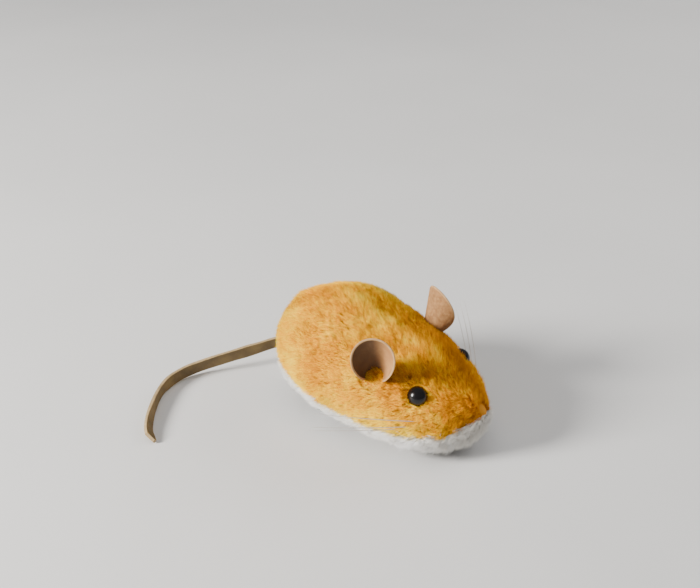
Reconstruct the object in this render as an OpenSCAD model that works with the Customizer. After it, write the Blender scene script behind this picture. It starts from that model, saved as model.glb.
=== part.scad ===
// Clockwork mouse: a plush-covered wind-up toy that runs on two driven wheels and a roller.
// Millimetres. The floor is z = 0 and the nose points to -Y; the mouse's left side is +X.

/* [Body] */
// length of the plush body, nose to rump
body_length = 99.5; // [97.5:0.5:101.5]
// share of the body's drawn width
width_share = 1.0; // [0.97:0.01:1.05]
// thickness of the plush cloth with its pile
plush_thick = 2.0; // [1.6:0.1:2.4]

/* [Ears and face] */
// height of each ear
ear_height = 18; // [16:0.5:19]
// leather thickness of the ears
ear_thick = 0.9; // [0.7:0.1:1.2]
// diameter of each eye
eye_d = 8.4; // [7.6:0.2:9]
// diameter of a whisker
whisker_d = 0.5; // [0.4:0.1:0.7]

/* [Tail] */
// height of the strap as it stands on edge
tail_height = 5; // [4:0.2:5]
// leather thickness of the strap
tail_thick = 1.6; // [1.2:0.1:2]

/* [Wheels] */
// radius of the drive wheels over their tyres
wheel_r = 10; // [9.6:0.1:10.4]
// width of each tyre
tyre_width = 4.4; // [3.5:0.1:5]
// radius of the front roller
roller_r = 5; // [4.8:0.1:5.2]

/* [Gears] */
// gear module
gear_module = 0.5; // [0.5:0.5:0.5]
// teeth of the great wheel
great_teeth = 40; // [38:1:40]
// teeth of the second wheel
second_teeth = 36; // [34:1:36]
// teeth of both pinions
pinion_teeth = 12; // [12:1:13]

/* [Winding] */
// teeth of the ratchet wheel
ratchet_teeth = 12; // [12:1:12]
// span of the key's two wings
key_span = 13; // [12:0.5:14]

/* [Hidden] */

$fn = 64;
gold = [0.86, 0.60, 0.20];
white = [0.93, 0.91, 0.86];
wadding = [0.88, 0.86, 0.80];
leather = [0.72, 0.52, 0.34];
dark_leather = [0.34, 0.23, 0.12];
steel = [0.62, 0.63, 0.65];
tin = [0.75, 0.76, 0.78];
brass = [0.80, 0.64, 0.30];
black = [0.03, 0.03, 0.03];
rubber = [0.09, 0.09, 0.09];

// Body sections at nine even steps from nose to rump: half width, top and underside.
half_widths = [0, 6.8, 19, 26.5, 29.4, 28.8, 23, 13.6, 0] * width_share;
tops = [19.5, 24.5, 30.6, 37.9, 44.9, 51, 48, 39.6, 22];
undersides = [19.5, 8, 2.9, 2.4, 3.4, 4.5, 7, 11.7, 22];
// Angle of the seam between gold and white at the same steps, from the widest line.
seams = [60, 8, -9, -14, -18, -18, -12, -10, -10];
upper_power = 2.2;
lower_power = 2.8;

// Grid of the plush panels: rings along the body and columns round it.
rings = 48;
side_columns = 21;
belly_columns = 20;
end_gap = 0.006;
key_ring = 28;
key_column = 1;

function control(list, i) =
    let(last = len(list) - 1)
    i < 0 ? 2 * list[0] - list[-i] : i > last ? 2 * list[last] - list[2 * last - i] : list[i];
// Catmull-Rom curve through a list, at a share of its length.
function along(list, share) =
    let(last = len(list) - 1,
        k = min(floor(share * last), last - 1),
        t = share * last - k,
        a = control(list, k - 1),
        b = control(list, k),
        c = control(list, k + 1),
        d = control(list, k + 2))
    0.5 * (2 * b + (c - a) * t + (2 * a - 5 * b + 4 * c - d) * t * t
        + (3 * b - a - 3 * c + d) * t * t * t);
function signed_power(v, p) = sign(v) * pow(abs(v), p);
function shrunk(size, inset) = size - inset * size / (size + 3);
// A point of the body's skin: share from nose to rump, angle round it, depth under it.
function skin(share, angle, inset = 0) =
    let(w = shrunk(along(half_widths, share), inset),
        high = along(tops, share),
        low = along(undersides, share),
        h = shrunk((high - low) / 2, inset),
        power = 2 / (sin(angle) < 0 ? lower_power : upper_power))
    [w * signed_power(cos(angle), power),
        -(body_length / 2 - inset) * cos(180 * share),
        (high + low) / 2 + h * signed_power(sin(angle), power)];
function ring_share(i) = end_gap + (1 - 2 * end_gap) * i / rings;
function side_angle(share, j) =
    let(seam = along(seams, share)) seam + (90 - seam) * j / side_columns;
function belly_angle(share, j) =
    let(seam = along(seams, share)) (180 + 2 * seam) * j / belly_columns - 180 - seam;

// Where the arbors cross the frame, as [y, z].
great_at = [skin(ring_share(key_ring), 0)[1], 21.6];
drive_at = [20, wheel_r];
great_r = gear_module * great_teeth / 2;
second_r = gear_module * second_teeth / 2;
pinion_r = gear_module * pinion_teeth / 2;
// The second arbor stands where both meshing distances are met, on the rear side.
function meet(a, b, ra, rb) =
    let(d = norm(b - a),
        u = (b - a) / d,
        x = (ra * ra - rb * rb + d * d) / (2 * d),
        y = sqrt(ra * ra - x * x))
    a + u * x + [-u[1], u[0]] * y;
second_at = meet(great_at, drive_at, great_r + pinion_r, second_r + pinion_r);
function heading(a, b) = atan2(b[1] - a[1], b[0] - a[0]);

fit_gap = 0.05;
plate_thick = 0.8;
plate_x = 9.5;
pillar_r = 1.5;
pillars = [[2.5, 12], [5.2, 32], [32, 32.5], [31.5, 10.7]];
base_low = 6.6;
base_high = base_low + plate_thick;
great_x = 5.2;
ratchet_x = 6.5;
second_x = -7.6;
wheel_thick = 1;
arbor_r = 1.75;
pivot_r = 1.1;
ratchet_r = 4.2;
ratchet_root = 3.2;
// The click's pivot on the great wheel, measured from its centre.
click_pivot = [6.6, 3.2];
click_eye_r = 1.15;
click_gap = 0.15;
click_nose_angle = 66;
click_back = 5.3;
click_arm_r = 0.5;
beak_r = 0.12;
tyre_thick = 1.6;
hub_x = plate_x + plate_thick + 0.3;
tyre_x = hub_x + 0.9;
roller_at = [-26, roller_r];
roller_half = 3.4;

// Draws a shape of the frame's own [y, z] plane as a plate that starts at x.
module across(x, thick) {
    translate([x, 0, 0])
    rotate([90, 0, 90])
    linear_extrude(thick)
    children();
}

module rod(at, x0, x1, r) {
    translate([x0, at[0], at[1]])
    rotate([0, 90, 0])
    cylinder(h = x1 - x0, r = r);
}

// A closed shell from two grids of points. Each hole is [first ring, end ring, first column,
// end column] and gets walls of its own.
module shell(outer, inner, holes = []) {
    rows = len(outer);
    cols = len(outer[0]);
    function kept(i, j) =
        i >= 0 && i < rows - 1 && j >= 0 && j < cols - 1
        && len([for (h = holes) if (i >= h[0] && i < h[1] && j >= h[2] && j < h[3]) h]) == 0;
    function id(i, j, under) = (under ? rows * cols : 0) + i * cols + j;
    function quad(a, b, c, d) = [[a, c, b], [a, d, c]];
    faces = [for (i = [0 : rows - 2]) for (j = [0 : cols - 2]) if (kept(i, j)) each concat(
        quad(id(i, j, false), id(i + 1, j, false), id(i + 1, j + 1, false), id(i, j + 1, false)),
        quad(id(i, j + 1, true), id(i + 1, j + 1, true), id(i + 1, j, true), id(i, j, true)),
        kept(i - 1, j) ? [] : quad(id(i, j, true), id(i, j, false),
            id(i, j + 1, false), id(i, j + 1, true)),
        kept(i + 1, j) ? [] : quad(id(i + 1, j + 1, true), id(i + 1, j + 1, false),
            id(i + 1, j, false), id(i + 1, j, true)),
        kept(i, j - 1) ? [] : quad(id(i + 1, j, true), id(i + 1, j, false),
            id(i, j, false), id(i, j, true)),
        kept(i, j + 1) ? [] : quad(id(i, j + 1, true), id(i, j + 1, false),
            id(i + 1, j + 1, false), id(i + 1, j + 1, true)))];
    polyhedron(points = [each for (r = outer) r, each for (r = inner) r], faces = faces);
}

// A closed solid through rings of points, with flat ends.
module loft(loops) {
    n = len(loops[0]);
    last = len(loops) - 1;
    polyhedron(
        points = [for (l = loops) each l],
        faces = [
            [for (j = [n - 1 : -1 : 0]) j],
            [for (j = [0 : n - 1]) last * n + j],
            for (i = [0 : last - 1]) for (j = [0 : n - 1])
                let(a = i * n + j, b = i * n + (j + 1) % n)
                each [[b, a + n, a], [b, b + n, a + n]]
        ]);
}

// Involute gear outline with the middle of a tooth on the +y axis of the frame's plane.
pressure = 25;
backlash = 0.14;
flank_steps = 4;
module gear_shape(teeth, turn, bore) {
    pitch_r = gear_module * teeth / 2;
    base_r = pitch_r * cos(pressure);
    tip_r = pitch_r + 0.92 * gear_module;
    root_r = pitch_r - 1.3 * gear_module;
    function roll(r) = r <= base_r ? 0 : tan(acos(base_r / r)) * 180 / PI - acos(base_r / r);
    half = 90 / teeth - backlash / 2 / pitch_r * 180 / PI + roll(pitch_r);
    start_r = max(base_r, root_r);
    flank = [for (k = [0 : flank_steps])
        let(r = start_r + (tip_r - start_r) * k / flank_steps) [r, half - roll(r)]];
    outline = [for (t = [0 : teeth - 1]) each concat(
        [[root_r, 360 * t / teeth - flank[0][1]]],
        [for (p = flank) [p[0], 360 * t / teeth - p[1]]],
        [for (k = [flank_steps : -1 : 0]) [flank[k][0], 360 * t / teeth + flank[k][1]]],
        [[root_r, 360 * t / teeth + flank[0][1]]])];
    difference() {
        polygon([for (p = outline) p[0] * [cos(p[1] + turn), sin(p[1] + turn)]]);
        circle(r = bore);
    }
}

module gear(at, x, thick, teeth, turn, bore) {
    across(x, thick)
    translate(at)
    gear_shape(teeth, turn, bore);
}

// --- Plush cover ---

function side_grid(inset) = [for (i = [0 : rings]) let(s = ring_share(i))
    [for (j = [0 : side_columns]) skin(s, side_angle(s, j), inset)]];
function belly_grid(inset) = [for (i = [0 : rings]) let(s = ring_share(i))
    [for (j = [0 : belly_columns]) skin(s, belly_angle(s, j), inset)]];
// Rings and columns left out for the key, and under the belly for the roller and the wheels.
key_hole = [key_ring - 1, key_ring + 1, key_column, key_column + 2];
roller_hole = [13, 18, 9, 11];
wheel_hole = [24, 37, 5, 15];

module plush_left() {
    color(gold)
    shell(side_grid(0), side_grid(plush_thick), [key_hole]);
}

module plush_right() {
    color(gold)
    mirror([1, 0, 0])
    shell(side_grid(0), side_grid(plush_thick));
}

module plush_belly() {
    color(white)
    mirror([1, 0, 0])
    shell(belly_grid(0), belly_grid(plush_thick), [roller_hole, wheel_hole]);
}

// --- Wadding ---

stuffing_inset = plush_thick + 0.8;
stuffing_floor = 12;
round_angles = [for (j = [0 : 23]) j * 15];
function above(p, floor_z) = [p[0], p[1], max(p[2], floor_z)];

module stuffing_head() {
    color(wadding)
    loft([for (k = [0 : 10])
        [for (a = round_angles) above(skin(0.06 + 0.041 * k, a, stuffing_inset), stuffing_floor)]]);
}

module stuffing_rump() {
    color(wadding)
    loft([for (k = [0 : 6]) [for (a = round_angles) skin(0.805 + 0.025 * k, a, stuffing_inset)]]);
}

cover_top = 37;
module stuffing_back() {
    shares = [for (k = [0 : 12]) 0.49 + 0.0245 * k];
    angles = [for (j = [0 : 10]) 48 + 8.4 * j];
    top = [for (s = shares) [for (a = angles) skin(s, a, stuffing_inset)]];
    color(wadding)
    shell(top, [for (r = top) [for (p = r) [p[0], p[1], min(cover_top, p[2] - 0.6)]]]);
}

// --- Ears, eyes and whiskers ---

ear_r = 10.4;
ear_centre = ear_height - ear_r;
curl_low = 3.8;
curl_high = 18;
ear_rows = 12;
ear_cols = 14;
ear_foot = skin(0.438, 40, 0.5);
ear_lean = 15;
ear_back = 3.4;
ear_turn = 26;

// A point of the curled ear: height from its foot, share across, depth into the leather.
function ear_point(v, across_share, depth) =
    let(half = sqrt(max(ear_r * ear_r - pow(v - ear_centre, 2), 0.3)),
        curl = curl_low + (curl_high - curl_low) * v / ear_height,
        turn = across_share * half / curl * 180 / PI,
        r = curl + depth)
    [curl - ear_back - r * cos(turn), r * sin(turn), v];

module ear() {
    heights = [for (k = [0 : ear_rows]) -2.5 + (ear_height + 2.4) * k / ear_rows];
    shares = [for (k = [0 : ear_cols]) -1 + 2 * k / ear_cols];
    color(leather)
    translate(ear_foot)
    rotate([0, ear_lean, -ear_turn])
    shell([for (v = heights) [for (s = shares) ear_point(v, s, ear_thick)]],
        [for (v = heights) [for (s = shares) ear_point(v, s, 0)]]);
}

module ear_left() {
    ear();
}

module ear_right() {
    mirror([1, 0, 0])
    ear();
}

eye_place = skin(0.318, 44);
eye_out = [0.66, -0.34, 0.67];
shank_length = 7;

// Turns +Z onto a direction.
module facing(dir) {
    rotate([0, acos(dir[2] / norm(dir)), atan2(dir[1], dir[0])])
    children();
}

module eye() {
    color(black)
    translate(eye_place)
    facing(eye_out) {
        translate([0, 0, -0.8])
        sphere(d = eye_d);
        translate([0, 0, -shank_length])
        cylinder(h = shank_length, r = 1.2);
    }
}

module eye_left() {
    eye();
}

module eye_right() {
    mirror([1, 0, 0])
    eye();
}

module eye_washers() {
    color(tin)
    for (side = [0, 1])
        mirror([side, 0, 0])
        translate(eye_place)
        facing(eye_out)
        translate([0, 0, -shank_length + 0.5])
        difference() {
            cylinder(h = 0.5, r = 3.2);
            translate([0, 0, -1])
            cylinder(h = 3, r = 1.25);
        }
}

whisker_root = [6, -40, 15.2];
whisker_length = 62;
whisker_bend = 300;
// How far each filament rises and is swept back from sideways, on each side.
rises_left = [13, 12.6, 10.8];
sweeps_left = [30, 30.5, 31];
rises_right = [14, 8, 6.2];
sweeps_right = [35, 36, 37];

module whiskers(rises, sweeps) {
    color(white)
    for (k = [0 : len(rises) - 1])
        translate(whisker_root + [0, 1.5 * (k - 1), 1.2 * (1 - k)])
        rotate([0, -rises[k], sweeps[k]])
        translate([0, whisker_bend, 0])
        rotate([0, 0, -90])
        rotate_extrude(angle = whisker_length / whisker_bend * 180 / PI, $fn = 360)
        translate([whisker_bend, 0])
        circle(d = whisker_d, $fn = 16);
}

module whiskers_left() {
    whiskers(rises_left, sweeps_left);
}

module whiskers_right() {
    mirror([1, 0, 0])
    whiskers(rises_right, sweeps_right);
}

// --- Tail ---

// Middle line of the strap, from inside the rump seam to the tip.
tail_route = [[0, 42, 15.5], [3, 50, 13.5], [5, 59.5, 10.8], [-3.6, 66.5, 9], [-12.3, 73, 7.4],
    [-24.2, 82.6, 4.5], [-34, 86.7, 3.2], [-44.5, 86, 2.9], [-56.4, 80.3, 2.7], [-67.6, 72.2, 2.55],
    [-73.2, 65.2, 2.15]];
tail_rings = 32;
tip_rings = 4;

// The strap twists over towards its tip: lean in degrees, and the share of its length where it starts.
tip_lean = 52;
lean_start = 0.7;

function tail_at(share) = [for (k = [0 : 2]) along([for (p = tail_route) p[k]], share)];
function unit(v) = v / norm(v);

module tail() {
    loops = [for (i = [0 : tail_rings])
        let(share = i / tail_rings,
            p = tail_at(share),
            ahead = tail_at(min(share + 0.01, 1)) - tail_at(max(share - 0.01, 0)),
            level = unit([ahead[1], -ahead[0], 0]),
            lean = tip_lean * pow(max(0, share - lean_start) / (1 - lean_start), 1.5),
            side = (level * cos(lean) - [0, 0, sin(lean)]) * tail_thick / 2,
            rise = (level * sin(lean) + [0, 0, cos(lean)]) * tail_height * (0.42 + 0.14 * sin(180 * share)),
            cut = max(0, (i - tail_rings + tip_rings) / tip_rings) * 0.75)
        [p + side - rise, p + side + rise * (1 - 2 * cut),
            p - side + rise * (1 - 2 * cut), p - side - rise]];
    color(dark_leather)
    loft(loops);
}

// --- Frame of the movement ---

module frame_outline() {
    hull() {
        for (p = pillars)
            translate(p)
            circle(r = 3.2, $fn = 32);
        translate(great_at)
        circle(r = great_r + 1.6, $fn = 64);
        translate(second_at)
        circle(r = second_r + 1.3, $fn = 64);
    }
}

screw_places = [[-1, 4], [-1, 27.5], [1, 4], [1, 27.5]];
foot_x = 7;
screw_r = 0.8;

// One frame plate, drawn for the right side, with the holes for its arbors.
module side_plate(key_bore) {
    difference() {
        union() {
            across(plate_x, plate_thick)
            frame_outline();
            for (s = screw_places)
                if (s[0] > 0)
                    translate([plate_x - 5, s[1] - 2.5, base_high + 0.02])
                    cube([5 + plate_thick, 5, plate_thick]);
            for (s = screw_places)
                if (s[0] > 0)
                    translate([plate_x, s[1] - 2.5, base_high + 0.02])
                    cube([plate_thick, 5, 6]);
        }
        rod(great_at, plate_x - 1, plate_x + 2, key_bore);
        rod(second_at, plate_x - 1, plate_x + 2, pivot_r + fit_gap);
        rod(drive_at, plate_x - 1, plate_x + 2, pivot_r + fit_gap);
        for (p = pillars)
            rod(p, plate_x - 1, plate_x + 2, pivot_r);
        for (s = screw_places)
            if (s[0] > 0)
                translate([foot_x, s[1], base_high - 1])
                cylinder(h = 3, r = screw_r);
    }
}

module side_plate_left() {
    color(steel)
    side_plate(arbor_r + fit_gap);
}

module side_plate_right() {
    color(steel)
    mirror([1, 0, 0])
    side_plate(pivot_r + fit_gap);
}

module frame_pillars() {
    color(brass)
    for (p = pillars) {
        rod(p, -plate_x, plate_x, pillar_r);
        rod(p, -plate_x - plate_thick, plate_x + plate_thick, pivot_r);
        for (side = [-1, 1])
            translate([side * (plate_x + plate_thick), p[0], p[1]])
            rotate([0, 90 * side, 0])
            cylinder(h = 0.4, r1 = pivot_r + 0.5, r2 = pivot_r);
    }
}

module frame_screws() {
    color(steel)
    for (s = screw_places)
        translate([s[0] * foot_x, s[1], 0]) {
            translate([0, 0, base_low])
            cylinder(h = 2.4, r = screw_r);
            difference() {
                translate([0, 0, base_low - 0.7])
                cylinder(h = 0.7, r = 1.5);
                translate([-2, -0.2, base_low - 1])
                cube([4, 0.4, 0.6]);
            }
        }
}

base_front = -31;
base_waist = 7;
base_rear = 30.5;
base_wide = 12;
base_narrow = plate_x + plate_thick;
module base_plate() {
    color(tin)
    translate([0, 0, base_low])
    difference() {
        union() {
            translate([-base_wide, base_front, 0])
            cube([2 * base_wide, base_waist - base_front, plate_thick]);
            translate([-base_narrow, base_waist - 1, 0])
            cube([2 * base_narrow, base_rear - base_waist + 1, plate_thick]);
        }
        translate([-roller_half - 0.6, roller_at[0] - roller_r - 0.6, -1])
        cube([2 * roller_half + 1.2, 2 * roller_r + 1.2, plate_thick + 2]);
        translate([second_x - 1.1, drive_at[0] - 3.5, -1])
        cube([3.2, 7, plate_thick + 2]);
        for (s = screw_places)
            translate([s[0] * foot_x, s[1], -1])
            cylinder(h = 3, r = screw_r);
    }
}

module movement_cover() {
    color(tin)
    difference() {
        across(-plate_x - plate_thick, 2 * (plate_x + plate_thick))
        difference() {
            offset(r = 0.55, $fn = 64)
            frame_outline();
            offset(r = 0.15, $fn = 64)
            frame_outline();
        }
        translate([-20, -20, -40])
        cube([40, 80, 40 + 13.5]);
    }
}

// --- Mainspring, arbor and key ---

spring_x = -3.6;
spring_width = 7;
spring_turns = 6;
spring_in = 2.6;
spring_out = 8.9;
spring_thick = 0.35;
spring_steps = 20;

// Flat spiral whose last turn runs out to the front lower pillar.
module mainspring() {
    count = spring_turns * spring_steps;
    target = pillars[0] - great_at;
    aim = atan2(target[1], target[0]);
    function place(i, side) =
        let(t = i / count,
            r = spring_in + (spring_out - spring_in) * t + side * spring_thick / 2,
            a = aim - 360 * spring_turns * (1 - t) - 30)
        r * [cos(a), sin(a)];
    color(steel)
    across(spring_x, spring_width)
    translate(great_at)
    union() {
        polygon(concat(
            [for (i = [0 : count]) place(i, 1)],
            [for (i = [count : -1 : 0]) place(i, -1)]));
        tail_start = place(count, 0);
        tail_end = target * (1 - (pillar_r + spring_thick / 2) / norm(target));
        hull() {
            translate(tail_start)
            circle(d = spring_thick, $fn = 12);
            translate(tail_end)
            circle(d = spring_thick, $fn = 12);
        }
    }
}

key_shaft_end = 33;
key_hub_x = 21;
key_seat_r = 1.1;
module winding_arbor() {
    color(steel)
    union() {
        rod(great_at, -plate_x + 0.1, key_hub_x, arbor_r);
        rod(great_at, key_hub_x, key_shaft_end - 4, key_seat_r);
        rod(great_at, -plate_x - plate_thick - 0.4, -plate_x + 0.1, pivot_r);
    }
}

module ratchet_wheel() {
    color(steel)
    across(ratchet_x, wheel_thick)
    translate(great_at)
    difference() {
        polygon([for (t = [0 : ratchet_teeth - 1]) let(a = 360 * t / ratchet_teeth) each [
            ratchet_r * [cos(a), sin(a)],
            ratchet_root * [cos(a + 3), sin(a + 3)],
            ratchet_root * [cos(a + 10), sin(a + 10)]]]);
        circle(r = arbor_r);
    }
}

key_thick = 1.2;
key_depth = 6;
key_eye_r = 1.5;
key_hub_r = 1.9;
module winding_key() {
    color(brass)
    difference() {
        union() {
            rod(great_at, key_hub_x, key_shaft_end, key_hub_r);
            translate([key_shaft_end - 2, great_at[0], great_at[1]])
            for (side = [-1, 1])
                translate([0, 0, side * (key_span / 2 - key_depth / 2 + 0.6)])
                rotate([90, 0, 0])
                translate([key_depth / 2, 0, -key_thick / 2])
                cylinder(h = key_thick, r = key_depth / 2);
            translate([key_shaft_end - 2, great_at[0] - key_thick / 2, great_at[1] - 4])
            cube([key_depth * 0.62, key_thick, 8]);
        }
        rod(great_at, key_hub_x - 1, key_shaft_end - 4, key_seat_r);
        for (side = [-1, 1])
            translate([key_shaft_end - 2 + key_depth / 2, great_at[0],
                great_at[1] + side * (key_span / 2 - key_depth / 2 + 0.6)])
            rotate([90, 0, 0])
            translate([0, 0, -2])
            cylinder(h = 4, r = key_eye_r);
    }
}

// --- Great wheel with its click ---

module great_wheel() {
    color(brass)
    difference() {
        gear(great_at, great_x, wheel_thick, great_teeth, heading(great_at, second_at),
            arbor_r + fit_gap);
        rod(great_at + click_pivot, great_x - 1, great_x + 2, 0.6);
    }
}

module click_rivet() {
    color(steel) {
        rod(great_at + click_pivot, great_x, ratchet_x + wheel_thick + 0.1, 0.6);
        rod(great_at + click_pivot, ratchet_x + wheel_thick + 0.1, ratchet_x + 1.5, 1.1);
        rod(great_at + click_pivot, great_x - 0.4, great_x, 1.1);
    }
}

// The click reaches from its rivet to just outside the ratchet's tips.
module click() {
    nose = [cos(click_nose_angle), sin(click_nose_angle)];
    color(steel)
    difference() {
        across(ratchet_x, wheel_thick)
        translate(great_at)
        union() {
            hull() {
                translate(click_pivot)
                circle(r = click_eye_r, $fn = 32);
                translate(nose * click_back)
                circle(r = click_arm_r, $fn = 32);
            }
            hull() {
                translate(nose * click_back)
                circle(r = click_arm_r, $fn = 32);
                translate(nose * (ratchet_r + click_gap + beak_r))
                circle(r = beak_r, $fn = 16);
            }
        }
        rod(great_at + click_pivot, great_x, ratchet_x + 3, 0.6 + fit_gap);
    }
}

wire_thick = 0.25;
// Wire spring: anchored in the great wheel, its free end rests on the click's back.
module click_spring() {
    bow = [for (k = [0 : 12]) let(a = 205 - 8 * k) 7.7 * [cos(a), sin(a)]];
    touch = (click_back + click_arm_r + 0.25) * [cos(click_nose_angle), sin(click_nose_angle)];
    route = concat(bow, [touch]);
    color(steel)
    union() {
        across(ratchet_x + 0.2, 0.6)
        translate(great_at)
        for (k = [0 : len(route) - 2])
            spring_leaf(route[k], route[k + 1]);
        rod(great_at + bow[0], great_x + wheel_thick, ratchet_x + 0.8, 0.7);
    }
}

// One straight piece of the spring's wire between two points.
module spring_leaf(a, b) {
    translate(a)
    rotate(heading(a, b))
    translate([0, -wire_thick / 2])
    square([norm(b - a), wire_thick]);
    translate(b)
    circle(d = wire_thick, $fn = 12);
}

// --- Second arbor and drive axle ---

module second_arbor() {
    color(steel)
    union() {
        rod(second_at, -plate_x + 0.1, plate_x - 0.1, 1.2);
        rod(second_at, -plate_x - plate_thick - 0.3, plate_x + plate_thick + 0.3, pivot_r);
    }
}

module second_pinion() {
    color(steel)
    gear(second_at, great_x - 0.6, 2.2, pinion_teeth,
        heading(great_at, second_at) + 180 + 180 / pinion_teeth, 1.2);
}

module second_wheel() {
    color(brass)
    gear(second_at, second_x, wheel_thick, second_teeth, heading(second_at, drive_at), 1.2);
}

module drive_axle() {
    color(steel)
    rod(drive_at, -tyre_x - tyre_width - 0.6, tyre_x + tyre_width + 0.6, pivot_r);
}

module drive_pinion() {
    color(steel)
    gear(drive_at, second_x - 0.7, 2.4, pinion_teeth,
        heading(second_at, drive_at) + 180 + 180 / pinion_teeth, pivot_r);
}

// One drive wheel: a turned hub, a web and a rim that the tyre sits on.
module drive_wheel(side) {
    rim_r = wheel_r - tyre_thick;
    color(tin)
    mirror([side < 0 ? 1 : 0, 0, 0])
    translate([tyre_x, drive_at[0], drive_at[1]])
    rotate([0, 90, 0])
    rotate_extrude()
    polygon([[pivot_r, hub_x - tyre_x], [2.8, hub_x - tyre_x],
        [2.8, 1.6], [rim_r - 1.2, 1.6], [rim_r - 1.2, 0], [rim_r, 0], [rim_r, tyre_width],
        [rim_r - 1.2, tyre_width], [rim_r - 1.2, 2.8], [2.8, 2.8], [2.4, tyre_width],
        [pivot_r, tyre_width]]);
}

module drive_wheel_left() {
    drive_wheel(1);
}

module drive_wheel_right() {
    drive_wheel(-1);
}

module tyre(side) {
    rim_r = wheel_r - tyre_thick;
    color(rubber)
    mirror([side < 0 ? 1 : 0, 0, 0])
    translate([tyre_x, drive_at[0], drive_at[1]])
    rotate([0, 90, 0])
    rotate_extrude()
    polygon([[rim_r, 0], [wheel_r - 0.5, 0], [wheel_r, 0.5], [wheel_r, tyre_width - 0.5],
        [wheel_r - 0.5, tyre_width], [rim_r, tyre_width]]);
}

module tyre_left() {
    tyre(1);
}

module tyre_right() {
    tyre(-1);
}

// --- Front roller ---

fork_thick = 0.8;
module roller_fork() {
    color(tin)
    difference() {
        for (side = [0, 1])
            mirror([side, 0, 0])
            translate([roller_half + 0.6, roller_at[0] - 3, 3.2])
            union() {
                cube([fork_thick, 6, base_low - 3.22]);
                translate([0, 0, base_low - 3.22 - fork_thick])
                cube([4, 6, fork_thick]);
            }
        rod(roller_at, -20, 20, 0.8);
    }
}

module roller_axle() {
    color(steel)
    rod(roller_at, -roller_half - 1.7, roller_half + 1.7, 0.8);
}

module front_roller() {
    color(rubber)
    difference() {
        rod(roller_at, -roller_half, roller_half, roller_r);
        rod(roller_at, -roller_half - 1, roller_half + 1, 0.8 + fit_gap);
    }
}

plush_left();
plush_right();
plush_belly();
stuffing_head();
stuffing_back();
stuffing_rump();
ear_left();
ear_right();
eye_left();
eye_right();
eye_washers();
whiskers_left();
whiskers_right();
tail();
base_plate();
side_plate_left();
side_plate_right();
frame_pillars();
frame_screws();
movement_cover();
mainspring();
winding_arbor();
ratchet_wheel();
winding_key();
great_wheel();
click();
click_rivet();
click_spring();
second_arbor();
second_pinion();
second_wheel();
drive_axle();
drive_pinion();
drive_wheel_left();
drive_wheel_right();
tyre_left();
tyre_right();
roller_fork();
roller_axle();
front_roller();
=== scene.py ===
"""Looks of the plush clockwork mouse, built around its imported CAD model."""

import math

import bpy
import numpy as np
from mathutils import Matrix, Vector


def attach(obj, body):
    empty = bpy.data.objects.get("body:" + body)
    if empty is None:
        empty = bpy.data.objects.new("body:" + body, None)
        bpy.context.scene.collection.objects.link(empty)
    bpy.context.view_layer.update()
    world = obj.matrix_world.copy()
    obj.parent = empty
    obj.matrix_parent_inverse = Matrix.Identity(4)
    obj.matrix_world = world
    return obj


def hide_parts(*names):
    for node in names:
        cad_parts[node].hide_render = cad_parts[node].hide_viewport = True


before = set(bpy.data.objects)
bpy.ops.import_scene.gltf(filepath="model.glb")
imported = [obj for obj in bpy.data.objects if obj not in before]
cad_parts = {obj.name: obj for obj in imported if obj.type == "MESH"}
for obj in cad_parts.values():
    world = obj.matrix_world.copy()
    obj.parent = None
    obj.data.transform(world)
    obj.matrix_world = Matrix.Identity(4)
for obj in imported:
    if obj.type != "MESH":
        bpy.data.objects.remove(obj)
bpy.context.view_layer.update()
MM = 0.001
rng = np.random.default_rng(7)

# --- Camera ---

AZIMUTH, ELEVATION = -56.9, 34.6  # degrees: round from the nose to the right side, and up
DISTANCE = 0.4597  # metres
FOCAL_SHARE = 11 / 7  # focal length over the picture's width
AIM_LEFT, AIM_UP = 0.0327, 0.0677  # slopes; the mouse sits right of and below the middle
TARGET = np.array([0, 0, 0.022])
az, el = math.radians(AZIMUTH), math.radians(ELEVATION)
cam_right = np.array([math.cos(az), math.sin(az), 0])
cam_up = np.array([-math.sin(az) * math.sin(el), math.cos(az) * math.sin(el), math.cos(el)])
cam_back = np.array([math.sin(az) * math.cos(el), -math.cos(az) * math.cos(el), math.sin(el)])
eye_point = TARGET + cam_back * DISTANCE
aim_point = TARGET + DISTANCE * (AIM_UP * cam_up - AIM_LEFT * cam_right)
camera = bpy.data.objects.new("camera", bpy.data.cameras.new("camera"))
bpy.context.collection.objects.link(camera)
camera.location = eye_point
camera.rotation_mode = "QUATERNION"
camera.rotation_quaternion = Vector(aim_point - eye_point).to_track_quat("-Z", "Y")
camera.data.lens = camera.data.sensor_width * FOCAL_SHARE
camera.data.clip_start = 0.01
bpy.context.scene.camera = camera


# --- Mesh helpers ---

def make_mesh(name, verts, faces):
    """A smooth mesh object from points in millimetres and an array of triangles or quads."""
    faces = np.asarray(faces, np.int32)
    sides = faces.shape[1]
    mesh = bpy.data.meshes.new(name)
    mesh.vertices.add(len(verts))
    mesh.vertices.foreach_set("co", (np.asarray(verts) * MM).astype(np.float32).ravel())
    mesh.loops.add(faces.size)
    mesh.loops.foreach_set("vertex_index", faces.ravel())
    mesh.polygons.add(len(faces))
    mesh.polygons.foreach_set("loop_start", np.arange(0, faces.size, sides, dtype=np.int32))
    mesh.polygons.foreach_set("use_smooth", np.full(len(faces), True))
    mesh.update(calc_edges=True)
    mesh.validate()
    obj = bpy.data.objects.new(name, mesh)
    bpy.context.collection.objects.link(obj)
    return obj


def unit(v):
    """Vectors of length 1."""
    return v / np.maximum(np.linalg.norm(v, axis=-1, keepdims=True), 1e-9)


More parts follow.
